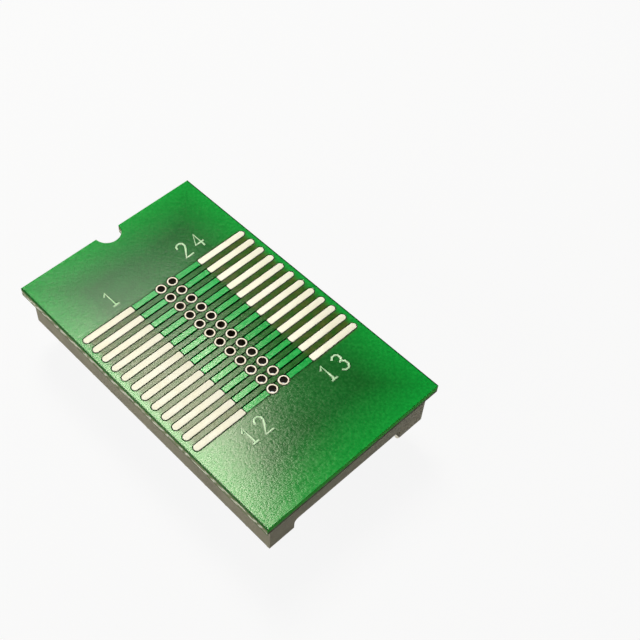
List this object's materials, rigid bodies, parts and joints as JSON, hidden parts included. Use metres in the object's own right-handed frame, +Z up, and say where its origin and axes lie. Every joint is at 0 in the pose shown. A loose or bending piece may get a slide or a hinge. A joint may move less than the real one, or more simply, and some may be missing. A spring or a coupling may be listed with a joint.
{
  "type": "small-outline to dual-in-line adapter",
  "caption": "Adapter board with solder lands for a wide small-outline chip, carried on an open-frame header of turned pins for a wide dual-in-line socket.",
  "frame": {"origin": "middle of the pin grid on the seating plane, where the header's rails rest on the socket", "axes": "+Z up through the board to the component side, +Y along the rows towards the notched end, X across the rows with pin 1's row at -X"},
  "size_m": [0.019, 0.031, 0.0079],
  "materials": {
    "laminate": "woven glass and epoxy, cut edge",
    "mask": "glossy green solder mask",
    "tin": "solder-coated, semi-bright",
    "copper": "copper under solder mask",
    "plating": "copper ring with thin tin",
    "solder": "bright solder",
    "moulding": "glass-filled polyester, matt beige-brown",
    "pin": "turned brass, tin-plated"
  },
  "bodies": {
    "root": {"board_laminate": "laminate", "solder_mask_top": "mask", "solder_mask_bottom": "mask", "chip_lands": "tin", "top_tracks": "copper", "plated_holes": "plating", "bottom_tracks": "copper", "solder_joints": "solder", "header_frame": "moulding", "pin_01": "pin", "pin_02": "pin", "pin_03": "pin", "pin_04": "pin", "pin_05": "pin", "pin_06": "pin", "pin_07": "pin", "pin_08": "pin", "pin_09": "pin", "pin_10": "pin", "pin_11": "pin", "pin_12": "pin", "pin_13": "pin", "pin_14": "pin", "pin_15": "pin", "pin_16": "pin", "pin_17": "pin", "pin_18": "pin", "pin_19": "pin", "pin_20": "pin", "pin_21": "pin", "pin_22": "pin", "pin_23": "pin", "pin_24": "pin"}
  },
  "joints": []
}
